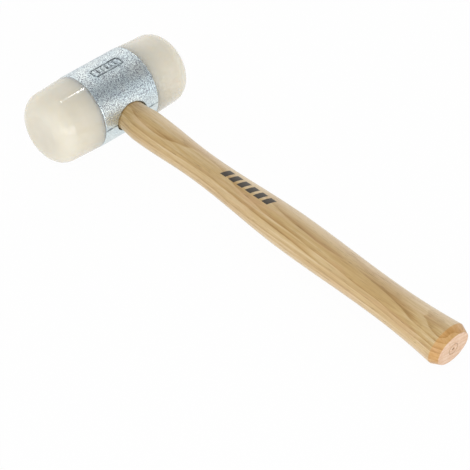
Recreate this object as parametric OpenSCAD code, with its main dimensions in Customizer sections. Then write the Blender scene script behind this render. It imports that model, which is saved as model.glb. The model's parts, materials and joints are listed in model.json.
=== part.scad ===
// Soft-faced mallet, lying on its side as it is put down on a bench.
// A cast casing holds one hard nylon face at each end and is wedged on an ash handle.
// The head axis runs along Y. The handle runs towards +X and dips until its butt
// rests on the surface z = 0. The origin is the middle of the footprint.

/* [Head] */
// Diameter of the cast casing, the nominal size of the mallet
casing_d = 60; // [50:0.5:75]
// Length of the casing along the head axis
casing_l = 52.8; // [44:0.1:70]
// Length of the head from strike face to strike face
head_l = 128.7; // [105:0.1:160]
// Chamfer on both rims of the casing
casing_chamfer = 0.8; // [0.4:0.1:1.5]
// Width of the oval eye, along the head axis
eye_w = 28.8; // [24:0.1:34.6]
// Height of the oval eye, across the head axis
eye_h = 23; // [19:0.1:27.6]
// Wall between the eye and each socket
web_t = 3.5; // [2.5:0.1:4.5]

/* [Casting marks] */
// Length of the raised frame on top of the casing, along the head axis
plate_l = 28; // [23:0.5:34]
// Width of the raised frame
plate_w = 9; // [7:0.5:12]
// Outer corner radius of the frame
plate_corner = 3; // [2:0.1:3.4]
// Width of the frame's rim
rim_w = 0.9; // [0.6:0.1:1.2]
// How far frame and tally bars stand off the casing
mark_h = 0.5; // [0.3:0.1:0.8]
// Number of tally bars in the frame
bar_count = 5; // [2:1:5]
// Length of a tally bar
bar_l = 4.2; // [3:0.1:5]
// Width of a tally bar
bar_w = 1; // [0.8:0.1:1.3]
// Distance from bar to bar
bar_pitch = 4; // [3:0.1:4.8]
// Height of the ridge that the mould's parting left
seam_h = 0.25; // [0.1:0.05:0.4]
// Width of that ridge
seam_w = 0.7; // [0.4:0.1:1]

/* [Nylon faces] */
// Step down from the casing to a face
face_step = 0.3; // [0.2:0.05:0.8]
// How much a face's radius tapers before its nose rounds over
face_taper = 1.1; // [0:0.1:2]
// Radius of the rounded nose
nose_r = 14.1; // [8:0.1:17]
// Diameter of the spigot pressed into the casing
spigot_d = 42; // [34:0.5:50.5]
// Radial clearance of the spigot in its socket
face_fit = 0.05; // [0.02:0.01:0.1]
// Space left under the spigot, so the face seats on its shoulder
spigot_end_gap = 0.3; // [0.2:0.1:0.6]
// Chamfer on the spigot's end
spigot_chamfer = 0.6; // [0.2:0.1:1]

/* [Handle] */
// Distance from the head axis to the end of the butt
handle_reach = 349; // [290:1:420]
// Thickness of the handle for a width of 1
handle_flat = 0.83; // [0.7:0.01:1]
// Width where the handle leaves the eye
mouth_w = 26.8; // [22:0.1:28.2]
// Width of the shoulder in front of the head
shoulder_w = 29.2; // [24:0.1:35]
// Distance of the shoulder from the head axis
shoulder_x = 45.7; // [38:0.1:55]
// Width of the neck
neck_w = 24.7; // [20.5:0.1:29.7]
// Distance of the neck from the head axis
neck_x = 106.6; // [90:0.1:125]
// Width of the swell that fills the palm
swell_w = 32.1; // [26.7:0.1:38.6]
// Distance of the swell from the butt
swell_from_butt = 145.7; // [122:0.1:160]
// Width of the waist behind the palm
waist_w = 29.5; // [24.5:0.1:35.4]
// Distance of the waist from the butt
waist_from_butt = 68; // [57:0.5:82]
// Width of the flared butt
butt_w = 36.1; // [30:0.1:43.4]
// How sharply the butt flares, as the power of its curve
flare_power = 2.2; // [1.5:0.1:3.5]
// Length of the chamfer around the butt
butt_chamfer_l = 6.7; // [3:0.1:9]
// Depth of that chamfer
butt_chamfer_h = 3.3; // [1:0.1:4.5]
// Diameter of the centre mark that turning left in the butt
centre_mark_d = 2.4; // [1.5:0.1:4]
// Depth of the centre mark
centre_mark_depth = 1.3; // [0.8:0.1:3]
// Diameter of the ring that the lathe's drive centre pressed round it
drive_ring_d = 8.6; // [6:0.2:12]
// Width of that ring
drive_ring_w = 0.7; // [0.4:0.1:1]
// Depth of that ring
drive_ring_depth = 0.3; // [0.2:0.1:0.5]

/* [Tenon and wedges] */
// How far the sawn end of the tenon stays inside the casing's radius
tenon_inset = 0.8; // [0.4:0.1:2]
// Gap between the spread tenon and the eye
tenon_gap = 0.3; // [0.1:0.05:0.5]
// Length of the wooden wedge
wood_wedge_l = 34; // [28:0.5:38]
// Thickness of its outer end
wood_wedge_t = 4; // [3:0.1:5]
// Thickness of its tip
wood_wedge_tip = 1.2; // [0.8:0.1:1.6]
// How far the saw kerf runs on past the wooden wedge
kerf_over = 4; // [2:0.5:6]
// Length of a steel wedge
steel_wedge_l = 20; // [16:0.5:24]
// Width of a steel wedge
steel_wedge_w = 14; // [11:0.5:16.8]
// Thickness of its outer end
steel_wedge_t = 2.6; // [2:0.1:3.2]
// Thickness of its tip
steel_wedge_tip = 0.6; // [0.4:0.1:0.8]
// Distance between the two steel wedges
steel_wedge_pitch = 13; // [10:0.5:15.6]
// Depth of the wedges' outer ends below the end of the tenon
wedge_sunk = 0.4; // [0:0.1:1]
// Gap on each side of a driven wedge
wedge_fit = 0.05; // [0.02:0.01:0.1]

/* [Hidden] */

// facets on circles
round_fn = 96;
eye_fn = 64;
ring_fn = 40;
// overlap that keeps cuts clean
cut = 1;

casing_r = casing_d / 2;
socket_depth = (casing_l - eye_w) / 2 - web_t;
socket_r = spigot_d / 2 + face_fit;
face_l = (head_l - casing_l) / 2;
face_r = casing_r - face_step;
tenon_end = tenon_inset - casing_r;
kerf_end = tenon_end + wedge_sunk + wood_wedge_l + kerf_over;
swell_x = handle_reach - swell_from_butt;
waist_x = handle_reach - waist_from_butt;
butt_x = handle_reach - butt_chamfer_l;
butt_half_h = butt_w / 2 * handle_flat;
tenon_half = [eye_w / 2 - tenon_gap, eye_h / 2 - tenon_gap];

// The handle dips until its butt touches the surface that carries the casing.
rest_tilt = asin(casing_r / norm([butt_x, butt_half_h])) - atan(butt_half_h / butt_x);
box_x_min = -max(
  (casing_r + seam_h) * cos(rest_tilt) + seam_w / 2 * sin(rest_tilt),
  -tenon_end * cos(rest_tilt) + tenon_half[1] * sin(rest_tilt)
);
box_x_max = handle_reach * cos(rest_tilt) + (butt_half_h - butt_chamfer_h) * sin(rest_tilt);

// Goes smoothly from a to b while x runs from x0 to x1.
function ease(x, x0, x1, a, b) = a + (b - a) * (1 - cos(180 * (x - x0) / (x1 - x0))) / 2;

// Half the handle's width at x in front of the eye.
function half_w(x) =
  x < shoulder_x ? ease(x, casing_r, shoulder_x, mouth_w, shoulder_w) / 2 :
  x < neck_x ? ease(x, shoulder_x, neck_x, shoulder_w, neck_w) / 2 :
  x < swell_x ? ease(x, neck_x, swell_x, neck_w, swell_w) / 2 :
  x < waist_x ? ease(x, swell_x, waist_x, swell_w, waist_w) / 2 :
  (waist_w + (butt_w - waist_w) * pow((x - waist_x) / (butt_x - waist_x), flare_power)) / 2;

// Half width and half height of the handle at x. Inside the eye it spreads towards the wedges.
function half_size(x) = x < casing_r
  ? [for (i = [0:1]) ease(max(x, kerf_end), kerf_end, casing_r, tenon_half[i],
      mouth_w / 2 * (i == 0 ? 1 : handle_flat))]
  : half_w(x) * [1, handle_flat];

// The oval section at x, one point for each step around it.
function ring(x, size) =
  [for (i = [0:ring_fn - 1]) [x, size[0] * cos(i * 360 / ring_fn), size[1] * sin(i * 360 / ring_fn)]];

// n steps from a to b, without b itself.
function steps(a, b, n) = [for (i = [0:n - 1]) a + (b - a) * i / n];

// Solid through a list of rings, each with ring_fn points, from -X to +X.
module loft(rings) {
  last = (len(rings) - 1) * ring_fn;
  polyhedron(
    points = [for (r = rings) each r],
    faces = concat(
      [[for (i = [0:ring_fn - 1]) i]],
      [for (k = [0:len(rings) - 2], i = [0:ring_fn - 1])
        let (j = (i + 1) % ring_fn, a = k * ring_fn, b = a + ring_fn)
        each [[a + i, b + i, b + j], [a + i, b + j, a + j]]],
      [[for (i = [ring_fn - 1:-1:0]) last + i]]
    )
  );
}

// Moves a piece from the head's own frame, centred on both axes, to where the mallet lies.
module laid_down() {
  translate([-(box_x_min + box_x_max) / 2, 0, casing_r])
    rotate([0, rest_tilt, 0])
      children();
}

// Turns a shape drawn along Z so that it runs along the head axis, outwards for side 1 or -1.
module along_head(side) {
  rotate([-90 * side, 0, 0])
    children();
}

// Tapered wedge driven along +X: its outer end at x = 0, thickness along Z.
module wedge(length, width, outer_t, tip_t, gap = 0) {
  rotate([90, 0, 0])
    linear_extrude(width + 2 * gap, center = true)
      polygon([
        [0, -outer_t / 2 - gap], [length, -tip_t / 2 - gap],
        [length, tip_t / 2 + gap], [0, outer_t / 2 + gap]
      ]);
}

// A rectangle with round corners, its length along Y.
module round_rectangle(width, length, corner) {
  square([width - 2 * corner, length], center = true);
  square([width, length - 2 * corner], center = true);
  for (sx = [-1, 1], sy = [-1, 1])
    translate([sx * (width / 2 - corner), sy * (length / 2 - corner)])
      circle(corner, $fn = 32);
}

// ---- casing ----

module casing_blank() {
  rotate([90, 0, 0])
    rotate_extrude($fn = round_fn)
      polygon([
        [0, -casing_l / 2], [casing_r - casing_chamfer, -casing_l / 2],
        [casing_r, -casing_l / 2 + casing_chamfer], [casing_r, casing_l / 2 - casing_chamfer],
        [casing_r - casing_chamfer, casing_l / 2], [0, casing_l / 2]
      ]);
}

// Plan of the raised frame and the tally bars in it.
module mark_plan() {
  difference() {
    round_rectangle(plate_w, plate_l, plate_corner);
    round_rectangle(plate_w - 2 * rim_w, plate_l - 2 * rim_w, plate_corner - rim_w);
  }
  for (i = [0:bar_count - 1])
    translate([0, (i - (bar_count - 1) / 2) * bar_pitch])
      square([bar_l, bar_w], center = true);
}

module casting_marks() {
  intersection() {
    linear_extrude(casing_r + mark_h)
      mark_plan();
    rotate([90, 0, 0])
      cylinder(h = casing_l, r = casing_r + mark_h, center = true, $fn = round_fn);
  }
}

// The parting ridge runs round the casing in the plane of the two axes.
module parting_ridge() {
  cube([2 * (casing_r + seam_h), casing_l - 2 * casing_chamfer, seam_w], center = true);
}

module eye() {
  rotate([0, 90, 0])
    linear_extrude(casing_d + 4 * cut, center = true)
      polygon([for (i = [0:eye_fn - 1]) [
        eye_h / 2 * cos(i * 360 / eye_fn), eye_w / 2 * sin(i * 360 / eye_fn)
      ]]);
}

module socket(side) {
  along_head(side)
    translate([0, 0, casing_l / 2 - socket_depth])
      cylinder(h = socket_depth + cut, r = socket_r, $fn = round_fn);
}

module casing() {
  color("#b4bcc2")
    laid_down()
      difference() {
        union() {
          casing_blank();
          casting_marks();
          parting_ridge();
        }
        eye();
        socket(-1);
        socket(1);
      }
}

// ---- nylon faces ----

// Half section of a face: spigot, shoulder, slightly tapered side and rounded nose.
module face_section() {
  nose_base_r = face_r - face_taper;
  spigot_r = spigot_d / 2;
  spigot_l = socket_depth - spigot_end_gap;
  difference() {
    polygon([
      [0, -spigot_l], [spigot_r - spigot_chamfer, -spigot_l], [spigot_r, -spigot_l + spigot_chamfer],
      [spigot_r, 0], [face_r, 0], [nose_base_r, face_l - nose_r], [nose_base_r, face_l], [0, face_l]
    ]);
    translate([nose_base_r - nose_r, face_l - nose_r])
      difference() {
        square(nose_r + cut);
        circle(nose_r, $fn = round_fn);
      }
  }
}

module face(side) {
  color("#ece4d4")
    laid_down()
      along_head(side)
        translate([0, 0, casing_l / 2])
          rotate_extrude($fn = round_fn)
            face_section();
}

// ---- handle and wedges ----

module handle_blank() {
  stations = concat(
    [tenon_end], steps(kerf_end, casing_r, 5), steps(casing_r, shoulder_x, 4),
    steps(shoulder_x, neck_x, 10), steps(neck_x, swell_x, 12), steps(swell_x, waist_x, 9),
    steps(waist_x, butt_x, 9), [butt_x]
  );
  butt_half = [butt_w / 2 - butt_chamfer_h, butt_half_h - butt_chamfer_h];
  loft(concat([for (x = stations) ring(x, half_size(x))], [ring(handle_reach, butt_half)]));
}

// Places a piece at the wedges' outer ends.
module at_wedges() {
  translate([tenon_end + wedge_sunk, 0, 0])
    children();
}

module steel_wedge_pair(gap = 0) {
  at_wedges()
    for (side = [-1, 1])
      translate([0, side * steel_wedge_pitch / 2, 0])
        rotate([90, 0, 0])
          wedge(steel_wedge_l, steel_wedge_w, steel_wedge_t, steel_wedge_tip, gap);
}

// The room above the sunk ends of the wedges, open to the end of the tenon.
module wedge_mouths() {
  translate([tenon_end - cut, 0, 0]) {
    wood_t = wood_wedge_t + 2 * wedge_fit;
    steel_t = steel_wedge_t + 2 * wedge_fit;
    translate([0, -eye_w, -wood_t / 2])
      cube([wedge_sunk + 1.01 * cut, 2 * eye_w, wood_t]);
    for (side = [-1, 1])
      translate([0, side * steel_wedge_pitch / 2 - steel_t / 2, -steel_wedge_w / 2 - wedge_fit])
        cube([wedge_sunk + 1.01 * cut, steel_t, steel_wedge_w + 2 * wedge_fit]);
  }
}

// Saw kerf, spread by the wooden wedge and running on past its tip.
module kerf() {
  at_wedges() {
    wedge(wood_wedge_l, 2 * eye_w, wood_wedge_t, wood_wedge_tip, wedge_fit);
    translate([0, -eye_w, -wood_wedge_tip / 2])
      cube([wood_wedge_l + kerf_over, 2 * eye_w, wood_wedge_tip]);
  }
}

module centre_mark() {
  translate([handle_reach + cut, 0, 0])
    rotate([0, -90, 0])
      cylinder(
        h = centre_mark_depth + cut, r2 = 0, $fn = 24,
        r1 = centre_mark_d / 2 * (centre_mark_depth + cut) / centre_mark_depth
      );
}

module drive_ring() {
  translate([handle_reach - drive_ring_depth, 0, 0])
    rotate([0, 90, 0])
      difference() {
        cylinder(h = drive_ring_depth + cut, d = drive_ring_d + drive_ring_w, $fn = round_fn / 2);
        translate([0, 0, -cut])
          cylinder(h = drive_ring_depth + 3 * cut, d = drive_ring_d - drive_ring_w, $fn = round_fn / 2);
      }
}

module handle() {
  color("#c8a878")
    laid_down()
      difference() {
        handle_blank();
        kerf();
        steel_wedge_pair(wedge_fit);
        wedge_mouths();
        centre_mark();
        drive_ring();
      }
}

module wooden_wedge() {
  color("#a9865a")
    laid_down()
      difference() {
        at_wedges()
          wedge(wood_wedge_l, eye_w - 4 * tenon_gap, wood_wedge_t, wood_wedge_tip);
        steel_wedge_pair(wedge_fit);
      }
}

module steel_wedges() {
  color("#7d8085")
    laid_down()
      steel_wedge_pair();
}

casing();
face(-1);  // left_face
face(1);  // right_face
handle();
wooden_wedge();
steel_wedges();
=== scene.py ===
import itertools
import json
import math

import bmesh
import bpy
import numpy as np
from mathutils import Matrix, Vector


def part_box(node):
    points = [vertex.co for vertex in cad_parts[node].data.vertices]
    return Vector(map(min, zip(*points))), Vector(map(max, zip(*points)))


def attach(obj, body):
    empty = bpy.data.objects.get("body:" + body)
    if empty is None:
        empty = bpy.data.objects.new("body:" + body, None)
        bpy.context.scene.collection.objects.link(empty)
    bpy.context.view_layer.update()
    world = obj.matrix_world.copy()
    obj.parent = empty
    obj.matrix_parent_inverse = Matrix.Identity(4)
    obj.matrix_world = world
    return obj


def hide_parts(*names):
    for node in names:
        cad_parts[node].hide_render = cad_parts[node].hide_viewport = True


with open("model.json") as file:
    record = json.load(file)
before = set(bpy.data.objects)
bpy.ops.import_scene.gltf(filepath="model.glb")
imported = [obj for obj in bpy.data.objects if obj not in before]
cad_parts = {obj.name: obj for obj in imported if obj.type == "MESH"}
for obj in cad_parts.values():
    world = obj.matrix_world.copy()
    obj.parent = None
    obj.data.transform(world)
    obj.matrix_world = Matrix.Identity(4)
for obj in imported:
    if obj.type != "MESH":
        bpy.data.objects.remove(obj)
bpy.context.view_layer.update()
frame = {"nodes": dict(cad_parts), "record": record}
mm = 0.001

# where things are, read from the frame
mounts = {m["name"]: m for m in frame["record"]["mounts"]}
leftStrike = np.array(mounts["strike_face_left"]["pos_m"])
rightStrike = np.array(mounts["strike_face_right"]["pos_m"])
headCentre = (leftStrike + rightStrike) / 2
alongHandle = np.array(mounts["butt_end"]["axis"])
alongHead = np.array([0.0, 1.0, 0.0])
overHandle = np.cross(alongHandle, alongHead)
headFrame = np.array([alongHandle, alongHead, overHandle])
handleTilt = math.asin(-alongHandle[2])

casingLow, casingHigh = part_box("casing")
faceLow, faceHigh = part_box("left_face")
casingRadius = headCentre[2] - casingLow.z
casingHalf = (casingHigh.y - casingLow.y) / 2
faceRadius = (faceHigh.x - faceLow.x) / 2
faceLength = rightStrike[1] - casingHalf
spigotLength = faceHigh.y + casingHalf
handleReach = float((np.array(mounts["butt_end"]["pos_m"]) - headCentre) @ alongHandle)


def toRow(points):
    # from the head's own frame (x along the handle, y along the head, z over the handle) to the row frame
    return headCentre + points @ headFrame


def toHead(points):
    # the other way round
    return (points - headCentre) @ headFrame.T


def lumps(points, size, seed):
    # value noise: random numbers on a cubic lattice of pitch size,
    # blended by t*t*(3 - 2t) between its corners
    count = 48
    table = np.random.default_rng(seed).uniform(-1, 1, (count, count, count))
    scaled = points / size + 500
    base = np.floor(scaled).astype(int)
    t = scaled - base
    t = t * t * (3 - 2 * t)
    total = np.zeros(points.shape[:-1])
    for corner in itertools.product((0, 1), repeat=3):
        weight = np.prod(np.where(corner, t, 1 - t), axis=-1)
        i = (base + corner) % count
        total += weight * table[i[..., 0], i[..., 1], i[..., 2]]
    return total


def gridQuads(rows, columns, closedRows, closedColumns, first):
    # quad (i, j) joins points (i, j), (i, j+1), (i+1, j+1) and (i+1, j)
    index = first + np.arange(rows * columns).reshape(rows, columns)
    if closedColumns:
        index = np.hstack([index, index[:, :1]])
    if closedRows:
        index = np.vstack([index, index[:1]])
    return np.stack([index[:-1, :-1], index[:-1, 1:], index[1:, 1:], index[1:, :-1]], -1).reshape(-1, 4)


def makePiece(name, grids, body, materials, sharpAngle=40):
    # grids: list of (points[rows, columns, 3] in the row frame, closedRows, closedColumns, material index)
    points, quads, indices, count = [], [], [], 0
    for grid, closedRows, closedColumns, index in grids:
        faces = gridQuads(*grid.shape[:2], closedRows, closedColumns, count)
        points.append(grid.reshape(-1, 3))
        quads.append(faces)
        indices.append(np.full(len(faces), index))
        count += grid.shape[0] * grid.shape[1]
    mesh = bpy.data.meshes.new(name)
    mesh.from_pydata(np.vstack(points), [], np.vstack(quads))
    mesh.polygons.foreach_set("material_index", np.concatenate(indices).astype(np.int32))
    solid = bmesh.new()
    solid.from_mesh(mesh)
    bmesh.ops.remove_doubles(solid, verts=solid.verts, dist=0.004 * mm)
    bmesh.ops.recalc_face_normals(solid, faces=solid.faces)
    solid.to_mesh(mesh)
    solid.free()
    for material in materials:
        mesh.materials.append(material)
    mesh.shade_smooth()
    mesh.set_sharp_from_angle(angle=math.radians(sharpAngle))
    piece = bpy.data.objects.new(name, mesh)
    bpy.context.scene.collection.objects.link(piece)
    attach(piece, body)
    return piece


def spunAboutHead(profile, side, turn):
    # a half section (distance from the head axis, distance outwards) carried to each angle of turn round it
    radius, out = profile[:, :1], profile[:, 1:]
    return np.stack([radius * np.sin(turn), side * out + 0 * turn, radius * np.cos(turn)], -1)


def ovalRings(x, halfWidth, halfHeight, turn):
    # an ellipse at each x along the handle: (x, halfWidth * cos turn, halfHeight * sin turn)
    return np.stack([
        x[:, None] + 0 * turn, halfWidth[:, None] * np.cos(turn), halfHeight[:, None] * np.sin(turn),
    ], -1)


def segment(start, end, count):
    # count points from start up to, but not including, end
    t = np.arange(count)[:, None] / count
    return np.array(start) + (np.array(end) - np.array(start)) * t


def arc(centre, radius, start, end, count):
    # count + 1 points at centre + radius * (cos a, sin a), with a from start to end in degrees
    a = np.radians(np.linspace(start, end, count + 1))
    return np.array(centre) + radius * np.stack([np.cos(a), np.sin(a)], -1)


def srgb(code):
    # sRGB hex to linear red, green, blue and alpha
    values = [int(code[i:i + 2], 16) / 255 for i in (1, 3, 5)]
    linear = [v / 12.92 if v <= 0.04045 else ((v + 0.055) / 1.055) ** 2.4 for v in values]
    return (*linear, 1.0)


def addNode(tree, kind, inputs=None, stops=(), **settings):
    # one node: settings are its properties, and stops are the (position, sRGB hex) of a colour ramp
    # inputs maps a socket's name or number to a value, to another socket,
    # or to a node, whose first live output it takes
    node = tree.nodes.new("ShaderNode" + kind)
    for key, value in settings.items():
        setattr(node, key, value)
    for key, value in (inputs or {}).items():
        if isinstance(value, bpy.types.Node):
            value = next(socket for socket in value.outputs if socket.enabled)
        if isinstance(value, bpy.types.NodeSocket):
            tree.links.new(value, node.inputs[key])
        else:
            node.inputs[key].default_value = value
    for k, (position, code) in enumerate(stops):
        elements = node.color_ramp.elements
        element = elements[k] if k < 2 else elements.new(position)
        element.position = position
        element.color = srgb(code)
    return node


def newMaterial(name):
    material = bpy.data.materials.new(name)
    material.use_nodes = True
    tree = material.node_tree
    tree.nodes.clear()
    surface = addNode(tree, "BsdfPrincipled")
    addNode(tree, "OutputMaterial", {"Surface": surface})
    return material, tree, surface


def headCoordinates(tree):
    # Object coordinates moved into the head's own frame and counted in millimetres
    where = addNode(tree, "TexCoord").outputs["Object"]
    turned = Matrix(headFrame.tolist()) @ Vector(headCentre.tolist())
    return addNode(tree, "Mapping", {
        "Vector": where, "Location": -turned / mm, "Rotation": (0, -handleTilt, 0), "Scale": (1 / mm,) * 3,
    })


studio = {
    "floorColour": "#fafaf9",
    "floorSize": 6.0,
    "floorWhiteness": 0.97,         # share of the floor that the camera sees as plain white
    "tentLevel": 1.18,
    "tentFall": 0.62,               # how much the tent darkens towards its dim side
    "tentMost": 1.27,
    "dimSide": (0.45, -0.28, 0.848),
    "cardSide": (0.22, 0.52, 0.825),    # a grey card hangs over the head on this side
    "cardEdges": (0.73, 0.96),      # cosines of the angles at which the card starts and is full
    "cardDepth": 0.46,
    "cameraAzimuth": 45.11,         # degrees, 0 looks along +Y
    "cameraElevation": 42.07,
    "cameraRoll": 0.81,
    "cameraDistance": 1.367,
    "cameraLens": 148.1,
    "cameraTarget": (0.1707, -0.0304, -0.0100),     # from the middle of the head
    "softboxAim": (0.0, -0.045, 0.010),             # from the middle of the head
}


def makeCamera():
    # azimuth and elevation turn it round its target, and the roll turns it about its own axis
    azimuth = math.radians(studio["cameraAzimuth"])
    elevation = math.radians(studio["cameraElevation"])
    back = Vector((
        math.sin(azimuth) * math.cos(elevation),
        -math.cos(azimuth) * math.cos(elevation),
        math.sin(elevation),
    ))
    camera = bpy.data.objects.new("camera", bpy.data.cameras.new("camera"))
    camera.data.lens = studio["cameraLens"]
    camera.data.clip_end = 20
    camera.location = Vector(headCentre + studio["cameraTarget"]) + back * studio["cameraDistance"]
    level = (-back).to_track_quat("-Z", "Y").to_matrix()
    camera.rotation_euler = (level @ Matrix.Rotation(math.radians(studio["cameraRoll"]), 3, "Z")).to_euler()
    bpy.context.scene.collection.objects.link(camera)
    bpy.context.scene.camera = camera


def makeTent():
    # a white light tent: strength = level - fall * (direction . dimSide), at most tentMost,
    # less the grey card
    world = bpy.data.worlds.new("tent")
    bpy.context.scene.world = world
    world.use_nodes = True
    tree = world.node_tree
    tree.nodes.clear()
    direction = addNode(tree, "TexCoord").outputs["Generated"]
    towards = addNode(tree, "VectorMath", {0: direction, 1: studio["dimSide"]}, operation="DOT_PRODUCT")
    fall = addNode(tree, "Math", {
        0: towards, 1: -studio["tentFall"], 2: studio["tentLevel"],
    }, operation="MULTIPLY_ADD")
    most = addNode(tree, "Math", {0: fall, 1: studio["tentMost"]}, operation="MINIMUM")
    under = addNode(tree, "VectorMath", {0: direction, 1: studio["cardSide"]}, operation="DOT_PRODUCT")
    card = addNode(tree, "MapRange", {
        "Value": under, "From Min": studio["cardEdges"][0], "From Max": studio["cardEdges"][1],
        "To Max": studio["cardDepth"],
    }, interpolation_type="SMOOTHSTEP")
    strength = addNode(tree, "Math", {0: most, 1: card}, operation="SUBTRACT")
    seen = addNode(tree, "LightPath").outputs["Is Camera Ray"]
    shown = addNode(tree, "Mix", {0: seen, 2: strength, 3: 1.0}, data_type="FLOAT")
    light = addNode(tree, "Background", {"Color": (1, 1, 1, 1), "Strength": shown})
    addNode(tree, "OutputWorld", {"Surface": light})


def makeFloor():
    # the camera and mirror-like surfaces see it as plain white, and every other ray as pale paper
    material, tree, surface = newMaterial("whiteBackdropPaper")
    surface.inputs["Base Color"].default_value = srgb(studio["floorColour"])
    surface.inputs["Roughness"].default_value = 0.9
    surface.inputs["Specular IOR Level"].default_value = 0.1
    path = addNode(tree, "LightPath").outputs
    seen = addNode(tree, "Math", {
        0: path["Is Glossy Ray"], 1: path["Is Transmission Ray"],
    }, operation="MAXIMUM")
    seen = addNode(tree, "Math", {0: path["Is Camera Ray"], 1: seen}, operation="MAXIMUM")
    glow = addNode(tree, "Emission", {"Color": (1, 1, 1, 1), "Strength": 1.0})
    share = addNode(tree, "Math", {0: seen, 1: studio["floorWhiteness"]}, operation="MULTIPLY")
    mixed = addNode(tree, "MixShader", {0: share, 1: surface, 2: glow})
    tree.links.new(mixed.outputs[0], tree.get_output_node("ALL").inputs["Surface"])
    half = studio["floorSize"] / 2
    corners = [(-half, -half, 0), (half, -half, 0), (half, half, 0), (-half, half, 0)]
    mesh = bpy.data.meshes.new("floor")
    mesh.from_pydata(corners, [], [(0, 1, 2, 3)])
    mesh.materials.append(material)
    floor = bpy.data.objects.new("floor", mesh)
    bpy.context.scene.collection.objects.link(floor)


softboxes = {
    # name: (direction from the head, distance, width, height, radiance)
    "frontSoftbox": ((0.71, -0.68, 0.15), 1.3, 1.6, 0.40, 2.1),
    "sideSoftbox": ((0.97, 0.02, 0.22), 1.3, 0.6, 0.56, 2.2),
    "windowStrip": ((-0.109, 0.449, 0.887), 1.2, 0.24, 0.022, 26.0),
    "lowStrip": ((0.358, -0.851, 0.384), 1.0, 0.012, 0.26, 15.0),
}


def makeSoftboxes():
    # area lamps that face the head, each with its power worked out from the radiance of its panel
    aim = Vector((headCentre + studio["softboxAim"]).tolist())
    for name, (direction, distance, width, height, radiance) in softboxes.items():
        light = bpy.data.lights.new(name, "AREA")
        light.shape = "RECTANGLE"
        light.size, light.size_y = width, height
        light.energy = radiance * math.pi * width * height
        lamp = bpy.data.objects.new(name, light)
        lamp.location = aim + Vector(direction).normalized() * distance
        lamp.rotation_euler = (aim - lamp.location).to_track_quat("-Z", "Y").to_euler()
        lamp.visible_camera = False
        bpy.context.scene.collection.objects.link(lamp)


bpy.context.scene.view_settings.view_transform = "Standard"
makeCamera()
makeTent()
makeFloor()
makeSoftboxes()
print("studio and camera are up")

casing = {
    "gridStep": 0.5 * mm,
    "patchHalf": 26.0 * mm,         # half length, round the casing, of the patch that holds the eye
    "patchRings": 30,
    "patchSpread": 1.25,            # above 1 crowds the rings of the patch towards the eye
    "curveSteps": 6,                # steps round the lip of the eye and round a rim
    "eyeWidth": 28.8 * mm,
    "eyeHeight": 23.0 * mm,
    "eyeLip": 0.9 * mm,             # radius of the cast lip round the eye
    "rimRound": 0.9 * mm,
    "socketRadius": 21.05 * mm,
    "socketDepth": 8.5 * mm,
    "socketChamfer": 0.5 * mm,
    "grainHeight": 0.055 * mm,
    "grainSize": 1.3 * mm,
    "waveHeight": 0.10 * mm,
    "waveSize": 14.0 * mm,
    "coarseAreaSize": 9.0 * mm,     # the grain comes and goes over areas of this size
    "partingBlend": 0.4 * mm,
}


def castRelief(points):
    # the skin of a sand casting, never above its nominal surface: slow waves plus pebbly grain of two sizes,
    # which is stronger in places, and weaker below the parting line, where the mould came out smoother
    slow = casing["waveHeight"] * (lumps(points, casing["waveSize"], 3) - 1) / 2
    patchy = 0.65 + 0.35 * lumps(points, casing["coarseAreaSize"], 8)
    upper = 0.45 + 0.55 / (1 + np.exp(-points[..., 2] / casing["partingBlend"]))
    grain = lumps(points, casing["grainSize"], 5) + 0.5 * lumps(points, casing["grainSize"] / 2, 6) - 1.5
    return slow + casing["grainHeight"] * grain * patchy * upper


def onSkin(around, along, lift=0.0):
    # a point of the casing: around is the distance round it from its crest towards the handle, along is y
    angle, along, radius = np.broadcast_arrays(around / casingRadius, along, casingRadius + lift)
    return np.stack([radius * np.sin(angle), along, radius * np.cos(angle)], -1)


def roughened(points, share=1.0):
    # moves points of the casing along their distance from the head axis by the cast relief
    outward = points * [1, 0, 1]
    outward = outward / np.linalg.norm(outward, axis=-1, keepdims=True)
    return points + outward * (castRelief(points) * share)[..., None]


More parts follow.
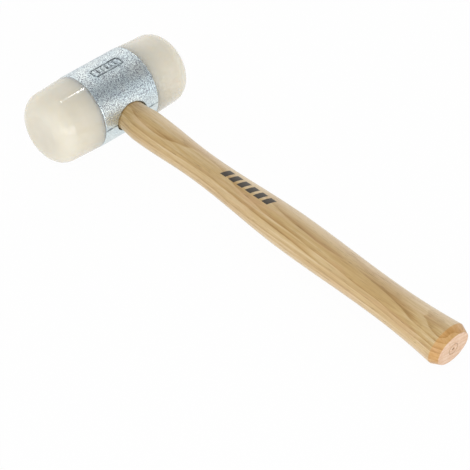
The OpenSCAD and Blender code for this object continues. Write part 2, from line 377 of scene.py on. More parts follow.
def casingSkin():
    # two bands over the crest and under the keel, two patches that run in over the lip of the eye
    # and down its wall, and two spun ends with their rims and sockets
    step = casing["gridStep"]
    steps = casing["curveSteps"]
    quarter = casingRadius * math.pi / 2
    straight = casingHalf - casing["rimRound"]
    bandHalf = quarter - casing["patchHalf"]
    rowCount = int(round(2 * straight / step))
    patchCount = int(round(2 * casing["patchHalf"] / step))
    bandCount = int(round(2 * bandHalf / step))
    along = np.linspace(-straight, straight, rowCount + 1)
    patchAround = np.linspace(-casing["patchHalf"], casing["patchHalf"], patchCount + 1)
    bandAround = np.linspace(-bandHalf, bandHalf, bandCount + 1)
    grids = []
    for middle in (0, 2 * quarter):
        points = onSkin(middle + bandAround[:, None], along[None, :])
        grids.append((roughened(points), False, False))

    # patches: straight rays from the eye's lip, an ellipse, to the patch's four sides
    border = np.vstack([
        np.stack([patchAround[:-1], np.full(patchCount, along[0])], -1),
        np.stack([np.full(rowCount, patchAround[-1]), along[:-1]], -1),
        np.stack([patchAround[:0:-1], np.full(patchCount, along[-1])], -1),
        np.stack([np.full(rowCount, patchAround[0]), along[:0:-1]], -1),
    ])
    half = np.array([casing["eyeHeight"], casing["eyeWidth"]]) / 2
    t = np.arctan2(border[:, 1] / half[1], border[:, 0] / half[0])
    edge = half * np.stack([np.cos(t), np.sin(t)], -1)
    normal = np.stack([np.cos(t) / half[0], np.sin(t) / half[1]], -1)
    normal /= np.linalg.norm(normal, axis=1, keepdims=True)
    lip = casing["eyeLip"]
    start = edge + lip * normal
    start = np.stack([casingRadius * np.arcsin(start[:, 0] / casingRadius), start[:, 1]], -1)
    outwards = (np.linspace(0, 1, casing["patchRings"] + 1) ** casing["patchSpread"])[:, None, None]
    flat = start + (border - start) * outwards

    # the lip is a quarter of a circle, and the wall shrinks straight in to the middle of the casing
    angle = np.linspace(0, math.pi / 2, steps + 1)[1:, None]
    low = edge[None] + lip * (1 - np.sin(angle))[..., None] * normal[None]
    outX = np.sqrt(casingRadius**2 - low[..., 0] ** 2) - lip * (1 - np.cos(angle))
    inwards = np.linspace(1, 0, 9)[1:, None]
    for side in (1, -1):
        skin = onSkin(side * (quarter + flat[..., 0]), flat[..., 1])
        lipPoints = np.stack([side * outX, low[..., 1], -low[..., 0]], -1)
        wall = np.stack([
            side * outX[-1] * inwards, edge[:, 1] + 0 * inwards, -edge[:, 0] + 0 * inwards,
        ], -1)
        fade = np.linspace(1, 0, steps + 1)[1:, None]
        rows = [roughened(skin)[::-1], roughened(lipPoints, fade), wall]
        grids.append((np.vstack(rows), False, True))

    # rims, end faces and sockets
    turn = np.concatenate([
        bandAround[:-1],
        quarter + patchAround[:-1],
        2 * quarter + bandAround[:-1],
        3 * quarter + patchAround[:-1],
    ]) / casingRadius
    rim, chamfer = casing["rimRound"], casing["socketChamfer"]
    mouth, floor = casing["socketRadius"], casingHalf - casing["socketDepth"]
    rimArc = arc((casingRadius - rim, straight), rim, 0, 90, steps)
    profile = np.vstack([
        rimArc[:-1],
        segment(rimArc[-1], (mouth + chamfer, casingHalf), 6),
        segment((mouth + chamfer, casingHalf), (mouth, casingHalf - chamfer), 2),
        segment((mouth, casingHalf - chamfer), (mouth, floor), 6),
        segment((mouth, floor), (0, floor), 10),
        [(0, floor)],
    ])
    fade = np.linspace(1, 0, steps + 1)[:, None]
    for side in (1, -1):
        points = spunAboutHead(profile, side, turn)
        rough = roughened(points[:steps + 1], fade)
        grids.append((np.vstack([rough, points[steps + 1:]]), False, True))
    return [(toRow(points), rows, columns, 0) for points, rows, columns in grids]


marks = {
    "frameLength": 28.0 * mm,
    "frameWidth": 9.0 * mm,
    "frameCorner": 3.0 * mm,
    "rimWidth": 1.0 * mm,
    "height": 0.5 * mm,
    "root": 0.25 * mm,              # how deep a mark reaches into the casing
    "barLength": 4.2 * mm,
    "barWidth": 1.25 * mm,
    "barPitch": 4.0 * mm,
    "barCount": 5,
    "seamWidth": 0.7 * mm,
    "seamHeight": 0.25 * mm,
    "seamWander": 0.12 * mm,
    "sectionPoints": 28,
    "sectionPower": 0.55,           # 1 makes the section of a mark an ellipse, and 0 a rectangle
    "footShadeReach": 0.55 * mm,        # how far the painted shade spreads from the foot of a mark
    # share of the painted shade along the foot of the parting ridge
    "seamFootShade": 0.75,
}


def markSection(width, height):
    # section of a cast mark, from its root to its height:
    # width / 2 * sgn(cos t)|cos t|^p across, and middle + half height * sgn(sin t)|sin t|^p up
    t = np.linspace(0, 2 * math.pi, marks["sectionPoints"], endpoint=False)
    low, power = -marks["root"], marks["sectionPower"]
    across = width / 2 * np.sign(np.cos(t)) * np.abs(np.cos(t)) ** power
    rise = (height + low) / 2 + (height - low) / 2 * np.sign(np.sin(t)) * np.abs(np.sin(t)) ** power
    return across, rise


def markPlan():
    # half size and corner radius of the frame's middle line, and the place of each bar along the head
    halfSize = np.array([marks["frameWidth"], marks["frameLength"]]) / 2 - marks["rimWidth"] / 2
    corner = marks["frameCorner"] - marks["rimWidth"] / 2
    bars = (np.arange(marks["barCount"]) - (marks["barCount"] - 1) / 2) * marks["barPitch"]
    return halfSize, corner, bars


def markGrids():
    halfSize, corner, bars = markPlan()
    grids = []

    # the frame: its section carried round a rectangle with round corners
    path, normals = [], []
    for k, signs in enumerate(((1, 1), (-1, 1), (-1, -1), (1, -1))):
        angle = np.radians(90 * k + np.linspace(0, 90, 13))
        outward = np.stack([np.cos(angle), np.sin(angle)], -1)
        path.append((halfSize - corner) * signs + corner * outward)
        normals.append(outward)
    path, normals = np.vstack(path), np.vstack(normals)
    across, rise = markSection(marks["rimWidth"], marks["height"])
    flat = path[:, None] + normals[:, None] * across[None, :, None]
    grids.append((onSkin(flat[..., 0], flat[..., 1], rise), True, True))

    # the plain bars: a pillow, whose section closes at both ends as |cos v|^0.35
    v = np.linspace(-math.pi / 2, math.pi / 2, 17)[:, None]
    close = np.abs(np.cos(v)) ** 0.35
    length = marks["barLength"] / 2 * np.sign(np.sin(v)) * np.abs(np.sin(v)) ** 0.5
    across, rise = markSection(marks["barWidth"], marks["height"])
    lift = -marks["root"] + (rise + marks["root"]) * close
    for middle in bars:
        grids.append((onSkin(length + 0 * across, middle + across * close, lift), False, True))

    # the parting ridge, on both sides of each eye, with ends that close as the root of the distance
    quarter = casingRadius * math.pi / 2
    start = casing["eyeWidth"] / 2 + casing["eyeLip"] * 0.4
    end = casingHalf - casing["rimRound"] * 0.6
    across, rise = markSection(marks["seamWidth"], marks["seamHeight"])
    run = np.linspace(0, 1, 41)[:, None]
    taper = np.clip(np.minimum(run, 1 - run) / 0.05, 0, 1) ** 0.5
    wander = marks["seamWander"] * np.sin(9 * run)
    for around, side in itertools.product((quarter, -quarter), (1, -1)):
        along = side * (start + (end - start) * run) + 0 * across
        grids.append((onSkin(around + wander + across * taper, along, rise * taper), False, True))
    return [(toRow(roughened(points)), rows, columns, 0) for points, rows, columns in grids]


def addPaintedFootShade(piece):
    # painted shade: 1 at the foot of the frame, the bars and the parting ridge,
    # falling to 0 within the shade's reach on the skin and up to their tops
    points = np.empty(len(piece.data.vertices) * 3)
    piece.data.vertices.foreach_get("co", points)
    points = toHead(points.reshape(-1, 3))      # flat: distance round the casing from its crest, and along it
    flat = np.stack([casingRadius * np.arctan2(points[:, 0], points[:, 2]), points[:, 1]], -1)
    lift = np.hypot(points[:, 0], points[:, 2]) - casingRadius
    reach = marks["footShadeReach"]

    # gap from the frame's rim or from a bar, whichever is nearer
    halfSize, corner, bars = markPlan()
    past = np.abs(flat) - (halfSize - corner)
    fromPath = np.hypot(*np.clip(past, 0, None).T) + np.clip(past.max(axis=1), None, 0) - corner
    gap = np.abs(fromPath) - marks["rimWidth"] / 2
    for middle in bars:
        past = np.abs(flat - [0, middle]) - np.array([marks["barLength"], marks["barWidth"]]) / 2
        gap = np.minimum(gap, past.max(axis=1))
    foot = np.clip(1 - gap / reach, 0, 1) * np.clip(1.15 - lift / marks["height"], 0, 1)
    foot *= points[:, 2] > casingRadius / 2

    # painted shade along the foot of the parting ridge, beyond the eyes
    seamGap = np.abs(points[:, 2]) - marks["seamWidth"] / 2
    seamFoot = np.clip(1 - seamGap / reach, 0, 1) * np.clip(1.3 - lift / marks["seamHeight"], 0, 1)
    beyondEye = np.abs(points[:, 1]) > casing["eyeWidth"] / 2
    onSurface = np.abs(lift) < 0.5 * mm
    foot += marks["seamFootShade"] * seamFoot * beyondEye * onSurface
    attribute = piece.data.attributes.new("paintedFootShade", "FLOAT", "POINT")
    attribute.data.foreach_set("value", foot.astype(np.float32))


plating = {
    "grain": 0.95,                  # sizes of the patterns, in millimetres
    "fineGrain": 0.42,
    "cloud": 16.0,
    "footShadeBreakup": 3.5,
    "pitColours": [(0.0, "#9799a4"), (0.45, "#cdd5da"), (1.0, "#e9f3f5")],     # from pit to bump
    "cloudTints": [(0.35, "#eef4f6"), (0.65, "#fffefa")],
    # colour of the painted shade at the foot of the marks
    "footShadeColour": "#343a40",
    "smoothPaleFrom": 16.0,            # the lower mould half came out smoother, and is painted paler there as painted light from below: millimetres over the head axis
    "smoothPaleTo": -3.0,
    "pitRoughness": 0.46,
    "bumpRoughness": 0.27,
    "metallic": 0.92,
}


def zincPlatedCasting():
    # malleable iron, sand cast and zinc plated: a satin grey metal with pebbly grain,
    # bright on the bumps, dull in the pits
    material, tree, surface = newMaterial("zincPlatedCasting")
    where = headCoordinates(tree)
    grain = addNode(tree, "TexNoise", {
        "Vector": where, "Scale": 1 / plating["grain"], "Detail": 2.5, "Roughness": 0.6,
    })
    fine = addNode(tree, "TexNoise", {"Vector": where, "Scale": 1 / plating["fineGrain"], "Detail": 2.0})
    cloud = addNode(tree, "TexNoise", {"Vector": where, "Scale": 1 / plating["cloud"], "Detail": 2.0})
    broken = addNode(tree, "TexNoise", {"Vector": where, "Scale": 1 / plating["footShadeBreakup"], "Detail": 2.0})

    # colour: pits and bumps, the lower half painted paler as painted light from below, under a faint cloudy
    # tint
    pits = addNode(tree, "MapRange", {
        "Value": grain, "From Min": 0.40, "From Max": 0.56,
    }, interpolation_type="SMOOTHSTEP")
    height = addNode(tree, "SeparateXYZ", {0: where}).outputs["Z"]
    lower = addNode(tree, "MapRange", {
        "Value": height, "From Min": plating["smoothPaleFrom"], "From Max": plating["smoothPaleTo"],
    })
    # painted light: the lower half is pushed towards the pale bump colour
    paleUnderShare = addNode(tree, "Math", {0: lower, 1: 0.6}, operation="MULTIPLY")
    pits = addNode(tree, "Math", {0: pits, 1: paleUnderShare}, operation="MAXIMUM")
    colour = addNode(tree, "ValToRGB", {0: pits}, stops=plating["pitColours"])
    tint = addNode(tree, "ValToRGB", {0: cloud}, stops=plating["cloudTints"])
    mixed = addNode(tree, "Mix", {0: 1.0, 6: colour, 7: tint}, data_type="RGBA", blend_type="MULTIPLY")

    # painted shade at the foot of the marks, broken up by noise
    foot = addNode(tree, "Attribute", attribute_name="paintedFootShade").outputs["Fac"]
    kept = addNode(tree, "MapRange", {"Value": broken, "From Min": 0.38, "From Max": 0.60, "To Min": 0.25})
    footShadeShare = addNode(tree, "Math", {0: foot, 1: kept}, operation="MULTIPLY")
    footShaded = addNode(tree, "Mix", {0: footShadeShare, 6: mixed, 7: srgb(plating["footShadeColour"])}, data_type="RGBA")
    rough = addNode(tree, "MapRange", {
        "Value": pits, "To Min": plating["pitRoughness"], "To Max": plating["bumpRoughness"],
    })
    relief = addNode(tree, "Math", {0: fine, 1: 0.35, 2: grain}, operation="MULTIPLY_ADD")
    force = addNode(tree, "MapRange", {"Value": lower, "To Min": 0.95, "To Max": 0.35})
    bump = addNode(tree, "Bump", {"Strength": force, "Distance": 0.3 * mm, "Height": relief})
    tree.links.new(footShaded.outputs[2], surface.inputs["Base Color"])
    tree.links.new(rough.outputs[0], surface.inputs["Roughness"])
    tree.links.new(bump.outputs[0], surface.inputs["Normal"])
    surface.inputs["Metallic"].default_value = plating["metallic"]
    return material


castingMaterial = zincPlatedCasting()
casingShell = makePiece("castCasing", casingSkin(), "root", [castingMaterial])
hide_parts("casing")
castMarks = makePiece("castMarks", markGrids(), "root", [castingMaterial])
for piece in (casingShell, castMarks):
    addPaintedFootShade(piece)
print("casing:", len(casingShell.data.polygons), "faces")

nylon = {
    "around": 224,
    "noseBaseRadius": faceRadius - 1.1 * mm,
    "noseRound": 14.1 * mm,
    "shoulderRound": 0.35 * mm,
    "spigotRadius": 21.0 * mm,
    "spigotChamfer": 0.6 * mm,
    "cloud": 22.0,                  # sizes of the patterns, in millimetres
    "turningLine": 0.6,
    "turningLength": 9.0,
    "colours": [(0.3, "#ded8c8"), (0.7, "#e5e0d2")],
    "casingShadeColour": "#b9b5a6",        # painted shade: darker and greyer next to the casing, which keeps light out of the plastic there
    "casingShadeReach": 15.0,
    "casingShadeShare": 0.4,
    "roughness": 0.07,
    "ior": 1.53,
    "scatterRadius": (1.0, 0.9, 0.75),
    "scatterDepth": 18.0 * mm,
}


def faceProfile():
    # half section (distance from the head axis, distance out from the casing's end): the spigot with its
    # chamfer, a softened shoulder, a slightly tapered side, a quarter circle for the nose and a flat front
    base, nose, edge = nylon["noseBaseRadius"], nylon["noseRound"], nylon["shoulderRound"]
    spigot, chamfer = nylon["spigotRadius"], nylon["spigotChamfer"]
    edgeArc = arc((faceRadius - edge, edge), edge, -90, 0, 5)
    noseArc = arc((base - nose, faceLength - nose), nose, 0, 90, 36)
    return np.vstack([
        segment((0, -spigotLength), (spigot - chamfer, -spigotLength), 8),
        segment((spigot - chamfer, -spigotLength), (spigot, chamfer - spigotLength), 2),
        segment((spigot, chamfer - spigotLength), (spigot, 0), 8),
        segment((spigot, 0), edgeArc[0], 6),
        edgeArc[:-1],
        segment(edgeArc[-1], noseArc[0], 20),
        noseArc[:-1],
        segment(noseArc[-1], (0, faceLength), 14),
        [(0, faceLength)],
    ])


def turnedNylon():
    # cast polyamide rod, turned: an off-white, waxy and slightly translucent plastic with a smooth gloss
    material, tree, surface = newMaterial("turnedNylon")
    where = headCoordinates(tree)
    cloud = addNode(tree, "TexNoise", {"Vector": where, "Scale": 1 / nylon["cloud"], "Detail": 3.0})
    colour = addNode(tree, "ValToRGB", {0: cloud}, stops=nylon["colours"])
    # painted shade on the plastic next to the casing, fading out away from it
    alongHeadAxis = addNode(tree, "SeparateXYZ", {0: where}).outputs["Y"]
    out = addNode(tree, "Math", {0: alongHeadAxis}, operation="ABSOLUTE")
    casingShade = addNode(tree, "MapRange", {
        "Value": out, "From Min": casingHalf / mm, "From Max": casingHalf / mm + nylon["casingShadeReach"],
        "To Min": nylon["casingShadeShare"], "To Max": 0.0,
    })
    colour = addNode(tree, "Mix", {0: casingShade, 6: colour, 7: srgb(nylon["casingShadeColour"])}, data_type="RGBA")
    line, length = 1 / nylon["turningLine"], 1 / nylon["turningLength"]
    drawn = addNode(tree, "VectorMath", {0: where, 1: (length, line, length)}, operation="MULTIPLY")
    ripple = addNode(tree, "TexNoise", {"Vector": drawn, "Scale": 1.0, "Detail": 1.0})
    bump = addNode(tree, "Bump", {"Strength": 0.02, "Distance": 0.1 * mm, "Height": ripple})
    tree.links.new(colour.outputs[2], surface.inputs["Base Color"])
    tree.links.new(bump.outputs[0], surface.inputs["Normal"])
    surface.inputs["Roughness"].default_value = nylon["roughness"]
    surface.inputs["IOR"].default_value = nylon["ior"]
    surface.inputs["Subsurface Weight"].default_value = 1.0
    surface.inputs["Subsurface Radius"].default_value = nylon["scatterRadius"]
    surface.inputs["Subsurface Scale"].default_value = nylon["scatterDepth"]
    return material


nylonMaterial = turnedNylon()
faceSection = faceProfile() + [0, casingHalf]
faceTurn = np.linspace(0, 2 * math.pi, nylon["around"], endpoint=False)
for name, node, side in (("leftNylonFace", "left_face", -1), ("rightNylonFace", "right_face", 1)):
    spun = spunAboutHead(faceSection, side, faceTurn)
    piece = makePiece(name, [(toRow(spun), False, True, 0)], node + "_body", [nylonMaterial])
    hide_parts(node)
print("nylon faces done")

handle = {
    "around": 144,
    "step": 1.3 * mm,
    "flatness": 0.83,
    "mouthWidth": 26.8 * mm,
    "shoulder": (45.7 * mm, 29.2 * mm),         # distance from the head axis, width
    "neck": (106.6 * mm, 24.7 * mm),
    "swell": (handleReach - 145.7 * mm, 32.1 * mm),
    "waist": (handleReach - 68.0 * mm, 29.5 * mm),
    "butt": (handleReach - 6.7 * mm, 36.1 * mm),
    "flarePower": 2.2,
    "chamferDepth": 3.3 * mm,
    "chamferSoftness": 0.35 * mm,
    "flareSlope": 0.09,             # slope of the flare at the butt, which the chamfer takes off as well
    "endRound": 0.5 * mm,
    "centreRadius": 1.2 * mm,
    "centreDepth": 1.3 * mm,
    "ringRadius": 4.3 * mm,
    "ringWidth": 0.35 * mm,
    "ringDepth": 0.3 * mm,
    "fineFrom": 3.0 * mm,           # closer rings start this far before the chamfer
    "tenonEnd": 1.3 * mm - casingRadius,        # the ends of the wedges stand a tenth of a millimetre proud
    "tenonGap": 0.3 * mm,
    "spreadFrom": 9.2 * mm,         # the tenon widens from here towards the wedges
}


def eased(x, x0, x1, a, b):
    # from a to b along half a cosine wave while x runs from x0 to x1
    t = np.clip((x - x0) / (x1 - x0), 0, 1)
    return a + (b - a) * (1 - np.cos(math.pi * t)) / 2


def handleHalfSizes(x):
    # half width and half height at distance x from the head axis
    # outside the casing: half cosine waves from the mouth over shoulder, neck, swell and waist,
    # then a flare that grows as a power towards the butt, less a softened chamfer
    # inside it: the tenon, which eases from the size of the eye to the size of the mouth
    places = [handle[k] for k in ("shoulder", "neck", "swell", "waist", "butt")]
    (x1, w1), (x2, w2), (x3, w3), (x4, w4), (x5, w5) = places
    flare = w4 + (w5 - w4) * np.clip((x - x4) / (x5 - x4), 0, None) ** handle["flarePower"]
    mouth = handle["mouthWidth"]
    width = np.select([x < x1, x < x2, x < x3, x < x4], [
        eased(x, casingRadius, x1, mouth, w1),
        eased(x, x1, x2, w1, w2),
        eased(x, x2, x3, w2, w3),
        eased(x, x3, x4, w3, w4),
    ], flare)
    past = x - x5
    slope = handle["chamferDepth"] / (handleReach - x5) + handle["flareSlope"]
    cut = slope * (past + np.sqrt(past**2 + handle["chamferSoftness"] ** 2)) / 2
    tenon = np.array([casing["eyeWidth"], casing["eyeHeight"]]) / 2 - handle["tenonGap"]
    halves = []
    for flatness, eye in ((1, tenon[0]), (handle["flatness"], tenon[1])):
        spread = eased(x, handle["spreadFrom"], casingRadius, eye, mouth / 2 * flatness)
        halves.append(np.where(x < casingRadius, spread, width / 2 * flatness - cut))
    return halves


def handleGrids():
    # ellipses with handleHalfSizes, closed by the butt's end face and by the sawn end of the tenon
    turn = np.linspace(0, 2 * math.pi, handle["around"], endpoint=False)
    fineFrom = handle["butt"][0] - handle["fineFrom"]
    rounding = handle["endRound"]
    x = np.concatenate([
        np.arange(handle["tenonEnd"] + 0.4 * mm, fineFrom, handle["step"]),
        np.linspace(fineFrom, handleReach - rounding, 30),
    ])
    halfWidth, halfHeight = handleHalfSizes(x)
    side = ovalRings(x, halfWidth, halfHeight, turn)

    # butt: a rounded edge, then rings that shrink to the middle, with the marks of the lathe's drive centre
    angle = np.linspace(0, math.pi / 2, 6)[1:]
    inwards = np.linspace(1, 0, 60)[1:]
    inset = np.concatenate([
        rounding * (1 - np.cos(angle)), rounding + (halfHeight[-1] - rounding) * (1 - inwards),
    ])
    rise = np.concatenate([rounding * np.sin(angle), np.full(len(inwards), rounding)])
    share = (halfHeight[-1] - inset) / halfHeight[-1]
    end = ovalRings(handleReach - rounding + rise, share * halfWidth[-1], share * halfHeight[-1], turn)
    fromMiddle = np.hypot(end[..., 1], end[..., 2])
    fromRing = (fromMiddle - handle["ringRadius"]) / handle["ringWidth"]
    end[..., 0] -= handle["centreDepth"] * np.clip(1 - fromMiddle / handle["centreRadius"], 0, 1)
    end[..., 0] -= handle["ringDepth"] * np.exp(-fromRing**2)

    # tenon: a small chamfer and a flat sawn end
    share = np.concatenate([[0.97], np.linspace(0.96, 0, 8)])
    sawn = np.full(len(share), handle["tenonEnd"])
    tenon = ovalRings(sawn, share * halfWidth[0], share * halfHeight[0], turn)
    return [(toRow(np.vstack([tenon[::-1], side, end])), False, True, 0)]


wood = {
    "pith": (-16.0, -64.0),         # across and over, in millimetres from the handle's axis
    "ring": 3.4,                    # millimetres from growth line to growth line
    "ringUnevenness": 1.1,
    "ringTones": [
        (0.0, "#7c7c7c"), (0.06, "#000000"), (0.2, "#8c8c8c"),
        (0.55, "#cfcfcf"), (0.97, "#ececec"), (1.0, "#7c7c7c"),
    ],
    "lean": 0.010,
    "sway": 8.0,
    "ringContrast": 0.40,
    "streakContrast": 0.80,
    "fibreContrast": 0.78,
    "toneShift": -0.50,
    "grainShift": (3.7, 1.3, 2.1),  # picks another stretch of the same board
    "noises": {
        # name: (length, width, detail, roughness), in millimetres; fibres are drawn coarse enough to show
        "sway": (120.0, 20.0, 2.0, 0.5),
        "streak": (75.0, 4.6, 3.0, 0.55),
        "fibre": (60.0, 1.5, 4.0, 0.62),
        "warm": (55.0, 7.0, 2.0, 0.5),
        "grey": (80.0, 5.0, 2.0, 0.5),
        "pore": (8.0, 0.5, 1.0, 0.5),
    },
    "sideColours": [
        (0.0, "#94703a"), (0.25, "#b38e56"), (0.5, "#c8a972"), (0.75, "#d9c094"), (1.0, "#e6d2aa"),
    ],
    "endColours": [(0.1, "#c99d79"), (0.5, "#d8b392"), (0.9, "#e4c8ae")],
    "chamferColours": [(0.1, "#ac7c40"), (0.5, "#c99a5e"), (0.9, "#d9b37e")],
    "warmColour": "#cda47c",
    "greyColour": "#b9a47c",
    # painted light on the right side and underside of the handle
    "paintedSideLightColour": "#edd6b2",
    "poreColour": "#8f6f42",
    "latheMarkColour": "#8c6a44",
    "inkColour": "#120e0b",
    "inkFrom": 128.0,               # a plain row of slanted bars on top, in millimetres from the head axis
    "inkTo": 178.0,
    "inkLow": -3.2,
    "inkHigh": 4.4,
    "inkPitch": 8.4,
    "inkShare": 0.66,
    "inkSlant": 0.35,
    "inkCover": 0.94,
}


def ashWood():
    # ash, turned, sanded and thinly lacquered: tan wood with soft streaks, thin darker growth lines with open
    # pores, pale end grain on the butt and a browner, more thirsty chamfer round it
    material, tree, surface = newMaterial("lacqueredAsh")
    where = headCoordinates(tree)
    parts = addNode(tree, "SeparateXYZ", {0: where}).outputs
    noises = {}
    for name, (length, width, detail, roughness) in wood["noises"].items():
        drawn = addNode(tree, "VectorMath", {
            0: where, 1: (1 / length, 1 / width, 1 / width), 2: wood["grainShift"],
        }, operation="MULTIPLY_ADD")
        noises[name] = addNode(tree, "TexNoise", {
            "Vector": drawn, "Scale": 1.0, "Detail": detail, "Roughness": roughness,
        })

    # growth rings: distance from a pith that lies below the handle, leans a little and wanders
    lean = addNode(tree, "Math", {
        0: parts["X"], 1: wood["lean"], 2: -wood["pith"][1],
    }, operation="MULTIPLY_ADD")
    sway = addNode(tree, "Math", {0: noises["sway"], 1: wood["sway"], 2: lean}, operation="MULTIPLY_ADD")
    across = addNode(tree, "Math", {0: parts["Y"], 1: wood["pith"][0]}, operation="SUBTRACT")
    over = addNode(tree, "Math", {0: parts["Z"], 1: sway}, operation="ADD")
    fromPith = addNode(tree, "CombineXYZ", {0: across, 1: over})
    distance = addNode(tree, "VectorMath", {0: fromPith}, operation="LENGTH")
    years = addNode(tree, "Math", {0: distance, 1: wood["ring"]}, operation="DIVIDE")
    uneven = addNode(tree, "TexNoise", {"W": years, "Scale": 1 / 2.2, "Detail": 1.0}, noise_dimensions="1D")
    rings = addNode(tree, "Math", {0: uneven, 1: wood["ringUnevenness"], 2: years}, operation="MULTIPLY_ADD")
    phase = addNode(tree, "Math", {0: rings}, operation="FRACT")
    ring = addNode(tree, "ValToRGB", {0: phase}, stops=wood["ringTones"])

    # tone: rings, long streaks, fine fibres
    tone = wood["toneShift"]
    for source, contrast in ((ring, "ring"), (noises["streak"], "streak"), (noises["fibre"], "fibre")):
        tone = addNode(tree, "Math", {
            0: source, 1: wood[contrast + "Contrast"], 2: tone,
        }, operation="MULTIPLY_ADD")
    side = addNode(tree, "ValToRGB", {0: tone}, stops=wood["sideColours"])
    endGrain = addNode(tree, "ValToRGB", {0: tone}, stops=wood["endColours"])
    chamfer = addNode(tree, "ValToRGB", {0: tone}, stops=wood["chamferColours"])

    # warm and grey drifts, then painted light: paler along the right side and below, where more light falls
    colour = side
    for value, start, end, most, tint in (
        (noises["warm"], 0.52, 0.72, 0.45, "warmColour"),
        (noises["grey"], 0.55, 0.75, 0.35, "greyColour"),
        (parts["Y"], -2.5, 7.0, 0.58, "paintedSideLightColour"),
        (parts["Z"], 8.0, -2.0, 0.40, "paintedSideLightColour"),
    ):
        share = addNode(tree, "MapRange", {
            "Value": value, "From Min": start, "From Max": end, "To Max": most,
        })
        colour = addNode(tree, "Mix", {0: share, 6: colour, 7: srgb(wood[tint])}, data_type="RGBA")

    # open pores sit in the early wood
    pore = addNode(tree, "MapRange", {"Value": noises["pore"], "From Min": 0.58, "From Max": 0.70})
    early = addNode(tree, "MapRange", {"Value": ring, "To Min": 0.66, "To Max": 0.06})
    poreMask = addNode(tree, "Math", {0: pore, 1: early}, operation="MULTIPLY")
    colour = addNode(tree, "Mix", {0: poreMask, 6: colour, 7: srgb(wood["poreColour"])}, data_type="RGBA")

    # the printed bars: a share of each pitch, inside a box and above the handle's middle
    slid = addNode(tree, "Math", {
        0: parts["Y"], 1: -wood["inkSlant"], 2: parts["X"],
    }, operation="MULTIPLY_ADD")
    run = addNode(tree, "MapRange", {
        "Value": slid, "From Min": wood["inkFrom"], "From Max": wood["inkFrom"] + wood["inkPitch"],
    }, clamp=False)
    within = addNode(tree, "Math", {0: run}, operation="FRACT")
    bars = addNode(tree, "Math", {0: within, 1: wood["inkShare"]}, operation="LESS_THAN")
    for value, start, end in (
        (slid, wood["inkFrom"], wood["inkTo"]),
        (parts["Y"], wood["inkLow"], wood["inkHigh"]),
        (parts["Z"], 0.0, 40.0),
    ):
        inside = addNode(tree, "Math", {
            0: value, 1: (start + end) / 2, 2: (end - start) / 2,
        }, operation="COMPARE")
        bars = addNode(tree, "Math", {0: bars, 1: inside}, operation="MULTIPLY")
    ink = addNode(tree, "Math", {0: bars, 1: wood["inkCover"]}, operation="MULTIPLY")
    colour = addNode(tree, "Mix", {0: ink, 6: colour, 7: srgb(wood["inkColour"])}, data_type="RGBA")

    # butt: the chamfer, then the end face
    for start, width, wash in (
        (handle["butt"][0] / mm - 0.2, 0.4, chamfer),
        (handleReach / mm - 0.45, 0.25, endGrain),
    ):
        share = addNode(tree, "MapRange", {
            "Value": parts["X"], "From Min": start, "From Max": start + width,
        })
        colour = addNode(tree, "Mix", {0: share, 6: colour, 7: wash}, data_type="RGBA")

    # the marks of the lathe's drive centre, a dot and a ring, rubbed darker
    flatPlace = addNode(tree, "CombineXYZ", {0: parts["Y"], 1: parts["Z"]})
    fromMiddle = addNode(tree, "VectorMath", {0: flatPlace}, operation="LENGTH")
    centre = addNode(tree, "MapRange", {"Value": fromMiddle, "From Min": 1.4, "From Max": 0.8, "To Max": 0.9})
    fromRing = addNode(tree, "Math", {0: fromMiddle, 1: handle["ringRadius"] / mm}, operation="SUBTRACT")
    fromRing = addNode(tree, "Math", {0: fromRing}, operation="ABSOLUTE")
    drive = addNode(tree, "MapRange", {"Value": fromRing, "From Min": 0.7, "From Max": 0.2, "To Max": 0.5})
    rubbed = addNode(tree, "Math", {0: centre, 1: drive}, operation="MAXIMUM")
    nearEnd = addNode(tree, "Math", {0: parts["X"], 1: handleReach / mm - 3}, operation="GREATER_THAN")
    rubbed = addNode(tree, "Math", {0: rubbed, 1: nearEnd}, operation="MULTIPLY")
    colour = addNode(tree, "Mix", {0: rubbed, 6: colour, 7: srgb(wood["latheMarkColour"])}, data_type="RGBA")

    relief = addNode(tree, "Math", {0: noises["fibre"], 1: 0.5}, operation="MULTIPLY")
    relief = addNode(tree, "Math", {0: relief, 1: poreMask}, operation="SUBTRACT")
    bump = addNode(tree, "Bump", {"Strength": 0.2, "Distance": 0.1 * mm, "Height": relief})
    tree.links.new(colour.outputs[2], surface.inputs["Base Color"])
    tree.links.new(bump.outputs[0], surface.inputs["Normal"])
    surface.inputs["Roughness"].default_value = 0.45
    surface.inputs["Specular IOR Level"].default_value = 0.25
    surface.inputs["Coat Weight"].default_value = 0.55
    surface.inputs["Coat Roughness"].default_value = 0.25
    surface.inputs["Sheen Weight"].default_value = 0.25
    surface.inputs["Sheen Roughness"].default_value = 0.2
    return material


ashMaterial = ashWood()
handlePiece = makePiece("ashHandle", handleGrids(), "root", [ashMaterial])
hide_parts("handle")
print("handle:", len(handlePiece.data.polygons), "faces")

wedges = {
    "steelGrain": 0.5,              # sizes of the patterns, in millimetres
    "rustPatch": 3.0,
    "steelColours": [(0.3, "#73777a"), (0.7, "#a3a7a9")],
    "rustColour": "#7a5236",
    "fleck": (30.0, 0.5, 1.6),
    "beechColours": [(0.3, "#8d6240"), (0.5, "#b98b62"), (0.75, "#cda47c")],
}


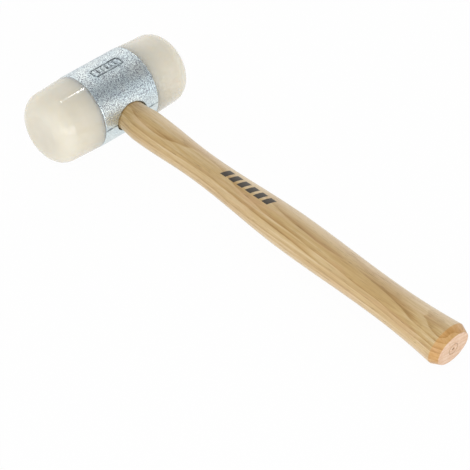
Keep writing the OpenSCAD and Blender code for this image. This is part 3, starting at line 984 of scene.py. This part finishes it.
def drivenSteel():
    # mild steel wedges, cut and hammered in: grey metal with a coarse sheared grain and rust starting in it
    material, tree, surface = newMaterial("drivenSteel")
    where = headCoordinates(tree)
    grain = addNode(tree, "TexNoise", {"Vector": where, "Scale": 1 / wedges["steelGrain"], "Detail": 3.0})
    rust = addNode(tree, "TexNoise", {"Vector": where, "Scale": 1 / wedges["rustPatch"], "Detail": 3.0})
    bare = addNode(tree, "ValToRGB", {0: grain}, stops=wedges["steelColours"])
    share = addNode(tree, "MapRange", {"Value": rust, "From Min": 0.52, "From Max": 0.68, "To Max": 0.7})
    colour = addNode(tree, "Mix", {0: share, 6: bare, 7: srgb(wedges["rustColour"])}, data_type="RGBA")
    rough = addNode(tree, "MapRange", {"Value": rust, "To Min": 0.35, "To Max": 0.7})
    bump = addNode(tree, "Bump", {"Strength": 0.5, "Distance": 0.1 * mm, "Height": grain})
    tree.links.new(colour.outputs[2], surface.inputs["Base Color"])
    tree.links.new(rough.outputs[0], surface.inputs["Roughness"])
    tree.links.new(bump.outputs[0], surface.inputs["Normal"])
    surface.inputs["Metallic"].default_value = 0.85
    return material


def rawBeech():
    # beech, split and planed, driven in raw: pinkish brown end grain with short dark flecks
    material, tree, surface = newMaterial("rawBeech")
    where = headCoordinates(tree)
    perFleck = tuple(1 / size for size in wedges["fleck"])
    drawn = addNode(tree, "VectorMath", {0: where, 1: perFleck}, operation="MULTIPLY")
    fleck = addNode(tree, "TexNoise", {"Vector": drawn, "Scale": 1.0, "Detail": 3.0})
    colour = addNode(tree, "ValToRGB", {0: fleck}, stops=wedges["beechColours"])
    bump = addNode(tree, "Bump", {"Strength": 0.4, "Distance": 0.1 * mm, "Height": fleck})
    tree.links.new(colour.outputs[0], surface.inputs["Base Color"])
    tree.links.new(bump.outputs[0], surface.inputs["Normal"])
    surface.inputs["Roughness"].default_value = 0.75
    return material


for node, material in (("wooden_wedge", rawBeech()), ("steel_wedges", drivenSteel())):
    slots = frame["nodes"][node].material_slots
    for slot in slots:
        slot.material = material
    print(node, "has", len(slots), "material slots")
